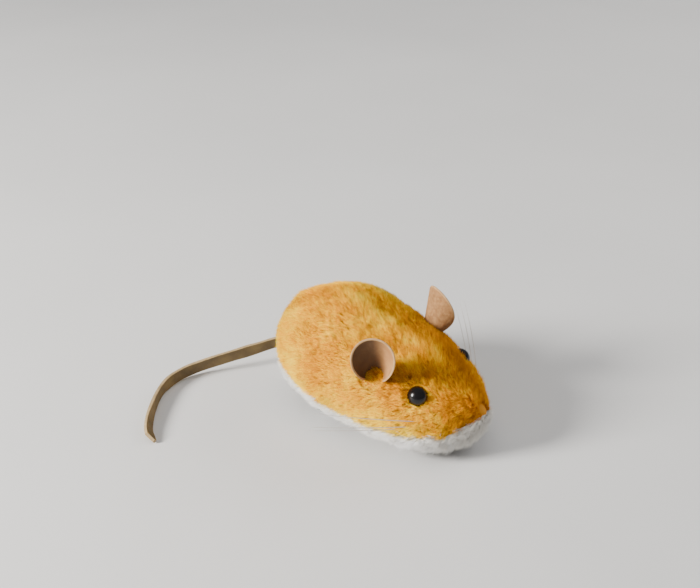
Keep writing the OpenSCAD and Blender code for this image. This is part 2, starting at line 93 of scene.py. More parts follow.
def catmull(values, share):
    """Catmull-Rom curve through evenly spaced values, at shares of its length."""
    v = np.asarray(values, float)
    v = np.concatenate([[2 * v[0] - v[1]], v, [2 * v[-1] - v[-2]]])
    last = len(v) - 3
    k = np.clip(np.floor(np.asarray(share) * last).astype(int), 0, last - 1)
    t = np.asarray(share) * last - k
    if v.ndim > 1:
        t = t[..., None]
    a, b, c, d = v[k], v[k + 1], v[k + 2], v[k + 3]
    return 0.5 * (2 * b + (c - a) * t + (2 * a - 5 * b + 4 * c - d) * t**2
                  + (3 * b - a - 3 * c + d) * t**3)


def waves(points, size, seed, octaves=2):
    """Smooth noise, about -1 to 1, at points in millimetres."""
    local = np.random.default_rng(seed)
    total = np.zeros(len(points))
    sums, spread, finer = 7, 4.2, 2.1
    for octave in range(octaves):
        for _ in range(sums):
            direction = unit(local.normal(size=3))
            phase = local.random() * 2 * np.pi
            bend = unit(local.normal(size=3))
            warp = np.sin(points @ bend * 2 * np.pi / (size * 1.7) + phase * 2)
            total += np.sin(points @ direction * 2 * np.pi / size + phase + warp) / 2**octave
        size /= finer
    return total / spread


# --- The body's skin, as in the CAD model ---

LENGTH = 99.5
HALF_WIDTHS = [0, 6.8, 19, 26.5, 29.4, 28.8, 23, 13.6, 0]
TOPS = [19.5, 24.5, 30.6, 37.9, 44.9, 51, 48, 39.6, 22]
UNDERSIDES = [19.5, 8, 2.9, 2.4, 3.4, 4.5, 7, 11.7, 22]
SEAMS = [60, 8, -9, -14, -18, -18, -12, -10, -10]
UPPER_POWER, LOWER_POWER = 2.2, 2.8
RINGS, END_GAP = 48, 0.006
SHRINK_SOFT = 3  # keeps an inset skin from turning inside out at the thin ends
MIDDLE_HEIGHT = 24
SIDE_COLUMNS, BELLY_COLUMNS = 21, 20
KEY_HOLE = [27, 29, 1, 3]
ROLLER_HOLE = [13, 18, 9, 11]
WHEEL_HOLE = [24, 37, 5, 15]


def shrunk(size, inset):
    """A half width or height of the skin, inset."""
    return size - inset * size / (size + SHRINK_SOFT)


def skin(share, angle, inset=0.0):
    """Points of the skin: share from nose to rump, angle round it in degrees, depth under it."""
    share, angle = np.broadcast_arrays(np.asarray(share, float), np.asarray(angle, float))
    w = shrunk(catmull(HALF_WIDTHS, share), inset)
    high, low = catmull(TOPS, share), catmull(UNDERSIDES, share)
    h = shrunk((high - low) / 2, inset)
    c, s = np.cos(np.radians(angle)), np.sin(np.radians(angle))
    power = 2 / np.where(s < 0, LOWER_POWER, UPPER_POWER)
    return np.stack([
        w * np.sign(c) * np.abs(c)**power,
        -(LENGTH / 2 - inset) * np.cos(np.pi * share),
        (high + low) / 2 + h * np.sign(s) * np.abs(s)**power], -1)


def skin_frame(share, angle):
    """Outward normals and tangents towards the rump."""
    step, turn = 0.004, 1.5
    along = skin(np.clip(share + step, 0, 1), angle) - skin(np.clip(share - step, 0, 1), angle)
    around = skin(share, angle + turn) - skin(share, angle - turn)
    normal = unit(np.cross(along, around))
    points = skin(share, angle)
    inside = np.stack([0 * points[..., 0], points[..., 1], MIDDLE_HEIGHT + 0 * points[..., 0]], -1)
    flip = np.sign(np.sum(normal * (points - inside), -1, keepdims=True))
    return normal * np.where(flip == 0, 1, flip), unit(along)


def ring_share(i):
    """Share of the length at a ring of the cover's grid."""
    return END_GAP + (1 - 2 * END_GAP) * i / RINGS


def shell(outer, inner, holes):
    """Closed shell between two grids of points, with walled holes."""
    rows, cols = outer.shape[:2]

    def kept(i, j):
        inside = 0 <= i < rows - 1 and 0 <= j < cols - 1
        return inside and not any(a <= i < b and c <= j < d for a, b, c, d in holes)

    def at(i, j, under):
        return under * rows * cols + i * cols + j

    faces = []
    for i in range(rows - 1):
        for j in range(cols - 1):
            if not kept(i, j):
                continue
            faces.append([at(i, j, 0), at(i, j + 1, 0), at(i + 1, j + 1, 0), at(i + 1, j, 0)])
            faces.append([at(i, j, 1), at(i + 1, j, 1), at(i + 1, j + 1, 1), at(i, j + 1, 1)])
            if not kept(i - 1, j):
                faces.append([at(i, j, 1), at(i, j + 1, 1), at(i, j + 1, 0), at(i, j, 0)])
            if not kept(i + 1, j):
                faces.append([at(i + 1, j, 0), at(i + 1, j + 1, 0), at(i + 1, j + 1, 1), at(i + 1, j, 1)])
            if not kept(i, j - 1):
                faces.append([at(i, j, 0), at(i + 1, j, 0), at(i + 1, j, 1), at(i, j, 1)])
            if not kept(i, j + 1):
                faces.append([at(i, j + 1, 1), at(i + 1, j + 1, 1), at(i + 1, j + 1, 0), at(i, j + 1, 0)])
    return np.concatenate([outer.reshape(-1, 3), inner.reshape(-1, 3)]), np.array(faces)


# --- Materials ---

FUR_SPECULAR, EYE_SPECULAR = 0.06, 0.25
RELIEF_DEPTH = 0.0002  # metres
ROUGHNESS_SPREAD = 0.08
FOLD_SHADE_KEPT = 0.25  # share of its brightness that an ear's inside keeps at the rear, as painted shade deep in its fold


def new_material(name):
    """A material with its node tree's parts."""
    material = bpy.data.materials.new(name)
    material.use_nodes = True
    tree = material.node_tree
    return material, tree.nodes, tree.links, tree.nodes["Principled BSDF"]


def set_values(shader, **values):
    """Sets shader inputs by name."""
    for key, value in values.items():
        socket = shader.inputs[key.replace("_", " ").title()]
        socket.default_value = (*value, 1) if isinstance(value, tuple) else value


def fur_material(name, colour):
    """Soft strands: one plain colour a shade, nearly matt."""
    material, _, _, shader = new_material(name)
    set_values(shader, base_color=colour, roughness=0.7)
    shader.inputs["Specular IOR Level"].default_value = FUR_SPECULAR
    return material


def mottled(name, dark, light, scale, roughness, bump, metallic=0.0, stretch=(1, 1, 1), painted_fold_shade=None):
    """A surface whose colour, roughness and fine relief vary with noise.

    The last argument gives two places along Y, in millimetres, between which painted shade darkens the
    surface to the share of brightness set for it at the top of this section.
    """
    material, nodes, links, shader = new_material(name)
    place = nodes.new("ShaderNodeTexCoord")
    mapping = nodes.new("ShaderNodeMapping")
    mapping.inputs["Scale"].default_value = stretch
    noise = nodes.new("ShaderNodeTexNoise")
    noise.inputs["Scale"].default_value = scale
    noise.inputs["Detail"].default_value = 4.0
    colours = nodes.new("ShaderNodeValToRGB")
    colours.color_ramp.elements[0].position = 0.3
    colours.color_ramp.elements[1].position = 0.7
    colours.color_ramp.elements[0].color = (*dark, 1)
    colours.color_ramp.elements[1].color = (*light, 1)
    links.new(place.outputs["Object"], mapping.inputs["Vector"])
    links.new(mapping.outputs["Vector"], noise.inputs["Vector"])
    links.new(noise.outputs["Fac"], colours.inputs["Fac"])
    links.new(colours.outputs["Color"], shader.inputs["Base Color"])
    # painted shade: the colour darkens along Y between the two places given
    if painted_fold_shade is not None:
        split = nodes.new("ShaderNodeSeparateXYZ")
        shade_ramp = nodes.new("ShaderNodeMapRange")
        shade_ramp.interpolation_type = "SMOOTHSTEP"
        shade_ramp.inputs["From Min"].default_value = painted_fold_shade[0] * MM
        shade_ramp.inputs["From Max"].default_value = painted_fold_shade[1] * MM
        shade_ramp.inputs["To Min"].default_value = 1.0
        shade_ramp.inputs["To Max"].default_value = FOLD_SHADE_KEPT
        painted_shading = nodes.new("ShaderNodeVectorMath")
        painted_shading.operation = "MULTIPLY"
        links.new(place.outputs["Object"], split.inputs["Vector"])
        links.new(split.outputs["Y"], shade_ramp.inputs["Value"])
        links.new(colours.outputs["Color"], painted_shading.inputs[0])
        links.new(shade_ramp.outputs["Result"], painted_shading.inputs[1])
        links.new(painted_shading.outputs["Vector"], shader.inputs["Base Color"])
    rough = nodes.new("ShaderNodeMapRange")
    rough.inputs["To Min"].default_value = max(roughness - ROUGHNESS_SPREAD, 0.03)
    rough.inputs["To Max"].default_value = roughness + ROUGHNESS_SPREAD
    links.new(noise.outputs["Fac"], rough.inputs["Value"])
    links.new(rough.outputs["Result"], shader.inputs["Roughness"])
    fine = nodes.new("ShaderNodeTexNoise")
    fine.inputs["Scale"].default_value = scale * 3
    links.new(mapping.outputs["Vector"], fine.inputs["Vector"])
    relief = nodes.new("ShaderNodeBump")
    relief.inputs["Strength"].default_value = bump
    relief.inputs["Distance"].default_value = RELIEF_DEPTH
    links.new(fine.outputs["Fac"], relief.inputs["Height"])
    links.new(relief.outputs["Normal"], shader.inputs["Normal"])
    set_values(shader, metallic=metallic)
    return material


def dress(obj, *materials):
    """Adds the materials to a new object, in the order of its faces' material indices."""
    for material in materials:
        obj.data.materials.append(material)


steel = mottled("steel", (0.42, 0.43, 0.45), (0.56, 0.57, 0.59), 900, 0.3, 0.25, 1.0,
                stretch=(0.1, 1, 1))
spring_steel = mottled("spring_steel", (0.10, 0.12, 0.17), (0.19, 0.21, 0.28), 700, 0.32, 0.2, 1.0)
tin = mottled("tin", (0.58, 0.59, 0.60), (0.72, 0.73, 0.74), 500, 0.34, 0.2, 1.0)
brass = mottled("brass", (0.60, 0.42, 0.15), (0.76, 0.57, 0.24), 600, 0.28, 0.2, 1.0)
rubber = mottled("rubber", (0.015, 0.015, 0.016), (0.035, 0.034, 0.033), 1500, 0.75, 0.5)
alloy = mottled("alloy", (0.60, 0.61, 0.62), (0.72, 0.73, 0.74), 800, 0.25, 0.15, 1.0)
wadding = mottled("wadding", (0.62, 0.58, 0.50), (0.80, 0.77, 0.70), 900, 0.95, 1.0)
cloth_gold = mottled("cloth_gold", (0.55, 0.19, 0.006), (0.68, 0.28, 0.012), 260, 0.9, 0.8)
cloth_white = mottled("cloth_white", (0.70, 0.66, 0.58), (0.82, 0.79, 0.73), 260, 0.9, 0.8)

CAD_MATERIALS = {
    "stuffing_head": wadding, "stuffing_back": wadding, "stuffing_rump": wadding,
    "eye_washers": tin, "base_plate": tin, "side_plate_left": steel, "side_plate_right": steel,
    "frame_pillars": brass, "frame_screws": steel, "movement_cover": tin,
    "mainspring": spring_steel, "winding_arbor": steel, "ratchet_wheel": steel,
    "winding_key": brass, "great_wheel": brass, "click": steel, "click_rivet": steel,
    "click_spring": spring_steel, "second_arbor": steel, "second_pinion": steel,
    "second_wheel": brass, "drive_axle": steel, "drive_pinion": steel,
    "drive_wheel_left": alloy, "drive_wheel_right": alloy, "tyre_left": rubber,
    "tyre_right": rubber, "roller_fork": tin, "roller_axle": steel, "front_roller": rubber,
}
for node_name, material in CAD_MATERIALS.items():
    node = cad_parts[node_name]
    for material_slot in node.material_slots:
        material_slot.link = "OBJECT"
        material_slot.material = material

# --- Plush cover: the backing cloth ---

BACKING_DEPTH, BACKING_INSIDE = 1.3, 2.0
rows = ring_share(np.arange(RINGS + 1))[:, None]
seam_rows = catmull(SEAMS, rows)
side_steps = np.arange(SIDE_COLUMNS + 1)[None] / SIDE_COLUMNS
side_angles = seam_rows + (90 - seam_rows) * side_steps
belly_steps = np.arange(BELLY_COLUMNS + 1)[None] / BELLY_COLUMNS
belly_angles = seam_rows - (180 + 2 * seam_rows) * belly_steps


def backing(name, angles, holes, mirrored, material, replaced):
    """The cloth that the pile grows from, with the CAD panel's seams and holes."""
    shares = np.broadcast_to(rows, angles.shape)
    outer, inner = skin(shares, angles, BACKING_DEPTH), skin(shares, angles, BACKING_INSIDE)
    if mirrored:
        outer, inner = outer * [-1, 1, 1], inner * [-1, 1, 1]
    verts, faces = shell(outer, inner, holes)
    obj = make_mesh(name, verts, faces[:, ::-1] if mirrored else faces)
    dress(obj, material)
    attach(obj, "mouse")
    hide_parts(replaced)


backing("cover_left", side_angles, [KEY_HOLE], False, cloth_gold, "plush_left")
backing("cover_right", side_angles, [], True, cloth_gold, "plush_right")
backing("cover_belly", belly_angles, [ROLLER_HOLE, WHEEL_HOLE], True, cloth_white,
        "plush_belly")


# --- Fur ---

STRANDS = 150000
PILE_LENGTH, ROOT_DEPTH = 3.7, 0.3
PILE_LIFT, PILE_BEND = 0.95, 0.55  # radians: off the skin at the root, and how much less at the tip
STRAND_RADIUS, RADIUS_SPREAD = 0.075, 0.02
FLOOR_GAP = 0.4
TUFTS, TUFT_CELL, TUFT_PULL = 5200, 2.0, 0.45
CELL_STRIDES = np.array([1000003, 1009, 1])  # one number for each cell of the tufts' grid
KEY_AT, KEY_REACH = (12.7, 21.6), 8.5  # pile this near the key's axis lies flat
KEY_PILE_LENGTH, KEY_PILE_LIFT, KEY_PILE_DROOP = 3.0, 0.42, 0.05
KEY_HOLE_MARGIN, BELLY_HOLE_MARGIN = 0.02, 0.1  # in rings and columns
EYE_BARE, TAIL_BARE = 3.1, 1.5
EAR_PILE_REACH, EAR_PILE_BEHIND, EAR_PILE_SHARE = 5.5, 1.5, 0.45
TAIL_FOOT = np.array([3.0, 50.0, 13.5])  # where the strap's route leaves the body
EYE_SHARE, EYE_ANGLE = 0.318, 44
EAR_SHARE, EAR_ANGLE = 0.438, 40
eye_centre = skin(EYE_SHARE, EYE_ANGLE)


def scatter(count, seed):
    """Points spread evenly over the whole skin, as shares and angles."""
    local = np.random.default_rng(seed)
    shares = np.linspace(0.0005, 0.9995, 241)
    angles = np.linspace(-180, 180, 361)
    grid = skin(shares[:, None], angles[None])
    a, b, c, d = grid[:-1, :-1], grid[1:, :-1], grid[1:, 1:], grid[:-1, 1:]
    area = (np.linalg.norm(np.cross(b - a, c - a), axis=-1)
            + np.linalg.norm(np.cross(c - a, d - a), axis=-1)).ravel()
    cell = local.choice(area.size, count, p=area / area.sum())
    i, j = np.divmod(cell, len(angles) - 1)
    share = shares[i] + (shares[1] - shares[0]) * local.random(count)
    angle = angles[j] + (angles[1] - angles[0]) * local.random(count)
    return share, angle


def folded(angle):
    """The same angle on the left side, from -90 under the belly to 90 on the spine."""
    turned = np.where(angle > 90, 180 - angle, angle)
    return np.where(turned < -90, -180 - turned, turned)


def in_hole(share, column, hole, margin):
    """True for places over a hole that is given in rings and columns."""
    ring = (share - END_GAP) / (1 - 2 * END_GAP) * RINGS
    return ((ring > hole[0] - margin) & (ring < hole[1] + margin)
            & (column > hole[2] - margin) & (column < hole[3] + margin))


def hump(value, middle, width, power=2):
    """1 at the middle, falling away to 0 on both sides."""
    return np.exp(-((value - middle) / width)**power)


def ramp(value, start, width):
    """0 before the start and 1 a width further on; a negative width runs the other way."""
    return np.clip((value - start) / width, 0, 1)


STRAND_FACES = np.array([
    [0, 2, 1], [0, 1, 4], [0, 4, 3], [1, 2, 5], [1, 5, 4], [2, 0, 3], [2, 3, 5],
    [3, 4, 6], [4, 5, 6], [5, 3, 6]])


def strands(root, direction, normal, length, lift, droop, radius, tip_pull):
    """Closed, tapered, bent strands of ten triangles each."""
    count = len(root)
    side = unit(np.cross(direction, normal))
    first = unit(direction * np.cos(lift)[:, None] + normal * np.sin(lift)[:, None])
    second = unit(direction * np.cos(droop)[:, None] + normal * np.sin(droop)[:, None])
    middle = root + first * (0.45 * length)[:, None]
    tip = middle + second * (0.55 * length)[:, None] + tip_pull
    up = unit(np.cross(side, first))
    verts = np.empty((count, 7, 3))
    for k in range(3):
        turn = 2 * np.pi * k / 3
        offset = side * np.cos(turn) + up * np.sin(turn)
        verts[:, k] = root + offset * (radius * 0.8)[:, None]
        verts[:, 3 + k] = middle + offset * radius[:, None]
    verts[:, 6] = tip
    faces = STRAND_FACES[None] + 7 * np.arange(count)[:, None, None]
    return verts.reshape(-1, 3), faces.reshape(-1, 3)


share, angle = scatter(STRANDS, 11)
bent = folded(angle)
normal, along = skin_frame(share, angle)
surface = skin(share, angle)
root = skin(share, angle, BACKING_DEPTH + ROOT_DEPTH)
seam = catmull(SEAMS, share)
is_gold = bent > seam + rng.normal(0, 1.6, STRANDS) + 2.5 * waves(surface, 9, 5)
eye_away = np.minimum(np.linalg.norm(surface - eye_centre, axis=1),
                      np.linalg.norm(surface - eye_centre * [-1, 1, 1], axis=1))

# combed from the nose to the rump, a little downwards, and stirred
down = np.array([0, 0, -1.0]) - normal * (normal @ np.array([0, 0, -1.0]))[:, None]
stir = waves(surface, 18, 21) * 0.45 + waves(surface, 5, 22) * 0.3 + rng.normal(0, 0.35, STRANDS)
across_skin = unit(np.cross(normal, along))
comb = unit(along + 0.35 * down)
comb = unit(comb * np.cos(stir)[:, None] + across_skin * np.sin(stir)[:, None])

# longer on the spine and the crown, shorter on the muzzle and round the eyes, ragged at the chin
spine = hump(bent, 90, 8.0) * ramp(share, 0.2, 0.1) * ramp(share, 0.93, -0.1)
crown = hump(share, 0.335, 0.075, 4) * ramp(bent, 48, 14)
chin = hump(share, 0.24, 0.16)
nose = ramp(share, 0.09, -0.09)
length = PILE_LENGTH + 0.3 * waves(surface, 9, 31) + rng.normal(0, 0.3, STRANDS) + spine + 1.9 * crown
length *= np.clip(0.66 + share * 3.0, 0.66, 1)
length *= np.where(is_gold, 1, 1.15 + 0.3 * chin * (1 + waves(surface, 4, 33)))
length *= np.clip((eye_away - 2.6) / 2.4, 0.55, 1)
lift = PILE_LIFT + 0.12 * waves(surface, 6, 41) + rng.normal(0, 0.14, STRANDS) + 0.2 * spine + 0.2 * crown
lift += 0.6 * nose
droop = lift - PILE_BEND + 0.35 * nose + rng.normal(0, 0.12, STRANDS)
radius = STRAND_RADIUS + RADIUS_SPREAD * rng.random(STRANDS)

# tufts: the tips in each small patch lean together
tufts = skin(*scatter(TUFTS, 12))
tufts_in_cell = {}
for index, cell in enumerate(map(tuple, np.floor(tufts / TUFT_CELL).astype(int))):
    tufts_in_cell.setdefault(cell, []).append(index)
nearest = np.full(STRANDS, -1)
home = np.floor(surface / TUFT_CELL).astype(int)
keys = home @ CELL_STRIDES
by_key = np.argsort(keys, kind="stable")
starts = np.flatnonzero(np.r_[True, np.diff(keys[by_key]) != 0])
ends = np.r_[starts[1:], len(keys)]
for a, b in zip(starts, ends):
    mine = by_key[a:b]
    x, y, z = home[mine[0]]
    near = [t for dx in (-1, 0, 1) for dy in (-1, 0, 1) for dz in (-1, 0, 1)
            for t in tufts_in_cell.get((x + dx, y + dy, z + dz), ())]
    if near:
        apart = np.linalg.norm(surface[mine][:, None] - tufts[near][None], axis=2)
        nearest[mine] = np.array(near)[apart.argmin(1)]
in_tuft = nearest >= 0
pull = np.zeros_like(surface)
pull[in_tuft] = (tufts[nearest[in_tuft]] - surface[in_tuft]) * TUFT_PULL
pull -= normal * np.sum(pull * normal, 1, keepdims=True)

# the shade of each strand: broad patches, smaller ones, tufts and chance; low sides and rump lighter
# with painted light, head and muzzle darker with painted shade
tuft_tone = rng.normal(0, 0.16, len(tufts))
tone = (0.7 * waves(surface, 30, 51) + 0.3 * waves(surface, 9, 52) + rng.normal(0, 0.45, STRANDS)
        + np.where(in_tuft, tuft_tone[nearest], 0) + 0.5 * spine)
# painted light: the low sides and the rump lighter
tone += 1.1 * ramp(bent, 10, -30) + 1.0 * ramp(share, 0.8, 0.2)
# painted shade: the top of the head and the muzzle darker
tone -= 0.6 * hump(share, 0.34, 0.10) * ramp(bent, 20, 30)
tone -= 0.7 * hump(share, 0, 0.13)

# bare places: over the holes, under the eyes and where the tail comes out
side_column = (bent - seam) / (90 - seam) * SIDE_COLUMNS
belly_column = (seam - bent) / (180 + 2 * seam) * BELLY_COLUMNS
belly_column = np.where(np.abs(angle) > 90, BELLY_COLUMNS - belly_column, belly_column)
bare = in_hole(share, side_column, KEY_HOLE, KEY_HOLE_MARGIN) & (np.abs(angle) < 90) & is_gold
bare |= in_hole(share, belly_column, WHEEL_HOLE, BELLY_HOLE_MARGIN) & ~is_gold
bare |= in_hole(share, belly_column, ROLLER_HOLE, BELLY_HOLE_MARGIN) & ~is_gold
bare |= eye_away < EYE_BARE
bare |= np.linalg.norm(surface - TAIL_FOOT, axis=1) < TAIL_BARE

# short pile inside the ears, flat pile under the key
for side in (1, -1):
    from_foot = surface - skin(EAR_SHARE, EAR_ANGLE) * [side, 1, 1]
    near_foot = np.linalg.norm(from_foot, axis=1) < EAR_PILE_REACH
    length[near_foot & (from_foot[:, 0] * side > -EAR_PILE_BEHIND)] *= EAR_PILE_SHARE
key_away = np.hypot(surface[:, 1] - KEY_AT[0], surface[:, 2] - KEY_AT[1])
under_key = (key_away < KEY_REACH) & (surface[:, 0] > 0)
length[under_key] = np.minimum(length[under_key], KEY_PILE_LENGTH)
lift[under_key] = KEY_PILE_LIFT
droop[under_key] = KEY_PILE_DROOP
pull[under_key] = 0

GOLD_SHADES = [
    (0.64, 0.245, 0.001), (0.77, 0.325, 0.001), (0.88, 0.400, 0.002), (0.95, 0.475, 0.003),
    (0.99, 0.545, 0.005), (1.0, 0.620, 0.012), (1.0, 0.710, 0.040)]
WHITE_SHADES = [(0.82, 0.79, 0.73), (0.88, 0.86, 0.82), (0.93, 0.92, 0.90)]


def fur(prefix, chosen, shades):
    """Strands sorted by tone into one piece a shade."""
    chosen = np.flatnonzero(chosen)
    ranked = chosen[np.argsort(tone[chosen])]
    for k, part in enumerate(np.array_split(ranked, len(shades))):
        verts, faces = strands(root[part], comb[part], normal[part], length[part], lift[part],
                               droop[part], radius[part], pull[part])
        verts[:, 2] = np.maximum(verts[:, 2], FLOOR_GAP)
        obj = make_mesh(f"{prefix}_{k + 1}", verts, faces)
        dress(obj, fur_material(f"{prefix}_{k + 1}", shades[k]))
        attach(obj, "mouse")


fur("fur_gold", is_gold & ~bare, GOLD_SHADES)
fur("fur_white", ~is_gold & ~bare, WHITE_SHADES)

# --- Ears ---

EAR_R, EAR_HEIGHT, EAR_THICK = 10.7, 18.3, 0.9
EAR_CENTRE = EAR_HEIGHT - EAR_R
CURL_LOW, CURL_HIGH, EAR_BACK = 3.8, 13.0, 3.0
EAR_LEAN, EAR_TURN = math.radians(15), math.radians(-26)
RIM_START, RIM_WIDTH, RIM_THINNING = 0.93, 0.07, 0.92  # shares of the disc's radius and thickness
BACK, INSIDE, CUT = 0, 1, 2  # material slots
ear_foot = skin(EAR_SHARE, EAR_ANGLE, 0.5)


def curled(flat, depth):
    """Points of the curled ear from points of the flat disc, depth into the leather."""
    s, v = flat[..., 0], flat[..., 1]
    curl = CURL_LOW + (CURL_HIGH - CURL_LOW) * v / EAR_HEIGHT
    turn = s / curl
    radius = curl + depth
    return np.stack([curl - EAR_BACK - radius * np.cos(turn), radius * np.sin(turn), v], -1)


def place_ear(points):
    """Leans the ear out, turns it forward and stands it on its foot."""
    x, y, z = points[..., 0], points[..., 1], points[..., 2]
    c, s = math.cos(EAR_LEAN), math.sin(EAR_LEAN)
    x, z = x * c + z * s, -x * s + z * c
    c, s = math.cos(EAR_TURN), math.sin(EAR_TURN)
    x, y = x * c - y * s, x * s + y * c
    return np.stack([x, y, z], -1) + ear_foot


def ear_piece(name, side, materials, replaced):
    """One curled disc of leather: its back, its inside and the cut edge round it."""
    turns, steps = 96, 26
    radii = 1 - (1 - np.linspace(0.02, 1, steps))**1.6
    theta = np.linspace(0, 2 * np.pi, turns, endpoint=False)
    rim = np.clip((radii - RIM_START) / RIM_WIDTH, 0, 1)
    half = EAR_THICK / 2 * np.sqrt(1 - RIM_THINNING * rim**2)
    flat = np.stack([radii[:, None] * EAR_R * np.cos(theta),
                     EAR_CENTRE + radii[:, None] * EAR_R * np.sin(theta)], -1)
    wobble = 0.12 * np.sin(3 * theta + 0.7) + 0.08 * np.sin(7 * theta)
    flat *= 1 + 0.012 * wobble[None, :, None]
    middle = EAR_THICK / 2
    outer = place_ear(curled(flat, middle + half[:, None]))
    inner = place_ear(curled(flat, middle - half[:, None]))
    verts = np.concatenate([outer.reshape(-1, 3), inner.reshape(-1, 3),
                            outer[0].mean(0)[None], inner[0].mean(0)[None]]) * [side, 1, 1]
    faces, kinds = [], []
    size = steps * turns
    for i in range(steps - 1):
        back, inside = (CUT, CUT) if radii[i] > RIM_START else (BACK, INSIDE)
        for j in range(turns):
            a, b = i * turns + j, i * turns + (j + 1) % turns
            faces.append([a, b, b + turns, a + turns])
            faces.append([size + a, size + a + turns, size + b + turns, size + b])
            kinds += [back, inside]
    last, centre = (steps - 1) * turns, 2 * size
    for j in range(turns):
        a, b = last + j, last + (j + 1) % turns
        faces.append([a, b, size + b, size + a])
        kinds.append(CUT)
    for j in range(turns):
        a, b = j, (j + 1) % turns
        faces += [[centre, b, a], [centre + 1, size + a, size + b]]
        kinds += [BACK, INSIDE]
    if side < 0:
        faces = [face[::-1] for face in faces]
    mesh = bpy.data.meshes.new(name)
    mesh.from_pydata((verts * MM).tolist(), [], faces)
    mesh.polygons.foreach_set("material_index", np.array(kinds, np.int32))
    mesh.polygons.foreach_set("use_smooth", np.full(len(faces), True))
    mesh.update()
    obj = bpy.data.objects.new(name, mesh)
    bpy.context.collection.objects.link(obj)
    dress(obj, *materials)
    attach(obj, "mouse")
    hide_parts(replaced)


suede = mottled("ear_suede", (0.27, 0.125, 0.040), (0.43, 0.225, 0.085), 700, 0.92, 1.0)
# painted shade: the inside of each ear darkens towards its rear, where the fold lies in shadow
ear_inside = mottled("ear_grain_painted_shade", (0.34, 0.145, 0.038), (0.46, 0.220, 0.072), 300, 0.85, 0.45,
                     painted_fold_shade=(-16, -9))
ear_cut = mottled("ear_cut_edge", (0.42, 0.235, 0.095), (0.54, 0.330, 0.150), 700, 0.85, 0.5)
ear_piece("ear_leather_left", 1, (suede, ear_inside, ear_cut), "ear_left")
ear_piece("ear_leather_right", -1, (suede, ear_inside, ear_cut), "ear_right")

# --- Eyes ---

EYE_D = 8.4
EYE_OUT = unit(np.array([0.66, -0.34, 0.67]))
SHANK, SHANK_R, BEAD_DEPTH = 7.0, 1.2, 1.8
COLLAR_R, COLLAR_AT = 1.5, -4.75


def lathe(name, profile, origin, axis, segments=64):
    """A closed turned solid from a profile of (radius, height) that starts and ends at radius 0."""
    axis = unit(np.asarray(axis, float))
    side = unit(np.cross(axis, [0.0, 0.0, 1.0]))
    other = np.cross(axis, side)
    profile = np.asarray(profile, float)
    theta = np.linspace(0, 2 * np.pi, segments, endpoint=False)
    ring = np.cos(theta)[:, None] * side + np.sin(theta)[:, None] * other
    body = origin + profile[1:-1, 0, None, None] * ring + profile[1:-1, 1, None, None] * axis
    count = len(profile) - 2
    verts = np.concatenate([body.reshape(-1, 3), [origin + profile[0, 1] * axis],
                            [origin + profile[-1, 1] * axis]])
    faces = []
    for i in range(count - 1):
        for j in range(segments):
            a, b = i * segments + j, i * segments + (j + 1) % segments
            faces += [[a, b, b + segments], [a, b + segments, a + segments]]
    for j in range(segments):
        a, b = j, (j + 1) % segments
        faces += [[len(verts) - 2, b, a], [len(verts) - 1, (count - 1) * segments + a,
                                           (count - 1) * segments + b]]
    return make_mesh(name, verts, faces)


def eye_profile():
    """A bead with a flattened back, a small collar and its shank."""
    radius = EYE_D / 2
    chamfer = 0.15
    profile = [(0, -SHANK), (SHANK_R - chamfer / 3, -SHANK), (SHANK_R, -SHANK + chamfer),
               (SHANK_R, COLLAR_AT - chamfer), (COLLAR_R, COLLAR_AT)]
    for t in np.linspace(-62, 90, 30):
        t = math.radians(t)
        profile.append((radius * math.cos(t), -BEAD_DEPTH + radius * math.sin(t)))
    profile[-1] = (0, radius - BEAD_DEPTH)
    return profile


def eye_material():
    """Polished black, a little uneven in its gloss."""
    material, nodes, links, shader = new_material("eye_black")
    set_values(shader, base_color=(0.005, 0.004, 0.004), coat_weight=0.35, coat_roughness=0.14)
    shader.inputs["Specular IOR Level"].default_value = EYE_SPECULAR
    noise = nodes.new("ShaderNodeTexNoise")
    noise.inputs["Scale"].default_value = 900
    spread = nodes.new("ShaderNodeMapRange")
    spread.inputs["To Min"].default_value = 0.20
    spread.inputs["To Max"].default_value = 0.30
    links.new(noise.outputs["Fac"], spread.inputs["Value"])
    links.new(spread.outputs["Result"], shader.inputs["Roughness"])
    return material


eye_black = eye_material()
for side, label in ((1, "left"), (-1, "right")):
    mirror = np.array([side, 1, 1])
    eye = lathe(f"eye_bead_{label}", eye_profile(), eye_centre * mirror, EYE_OUT * mirror)
    dress(eye, eye_black)
    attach(eye, "mouse")
    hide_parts(f"eye_{label}")

# --- Whiskers ---

WHISKER_ROOT = np.array([6, -40, 15.2])
WHISKER_LENGTH, WHISKER_BEND = 62, 300  # the bend is the radius of its arc
# degrees up and back, from the top whisker to the lowest
RISES = {"left": [13, 12.6, 10.8], "right": [14, 8, 6.2]}
SWEEPS = {"left": [30, 30.5, 31], "right": [35, 36, 37]}
ROOTS_APART = np.array([0, 1.5, -1.2])
WHISKER_POINTS = 40
RADII = [0.19, 0.15, 0.05]  # at the root, six tenths along and at the tip


def tube(path, radii, sides=8):
    """Closed tapered tube along a path."""
    path = np.asarray(path)
    ahead = unit(np.gradient(path, axis=0))
    side = unit(np.cross(ahead, [0.0, 0.0, 1.0]))
    up = np.cross(side, ahead)
    theta = np.linspace(0, 2 * np.pi, sides, endpoint=False)
    ring = np.cos(theta)[None, :, None] * side[:, None] + np.sin(theta)[None, :, None] * up[:, None]
    body = path[:, None] + ring * np.asarray(radii)[:, None, None]
    verts = np.concatenate([body.reshape(-1, 3), path[:1], path[-1:]])
    faces = []
    count = len(path)
    for i in range(count - 1):
        for j in range(sides):
            a, b = i * sides + j, i * sides + (j + 1) % sides
            faces += [[a, b, b + sides], [a, b + sides, a + sides]]
    for j in range(sides):
        a, b = j, (j + 1) % sides
        faces += [[len(verts) - 2, b, a],
                  [len(verts) - 1, (count - 1) * sides + a, (count - 1) * sides + b]]
    return verts, np.array(faces)


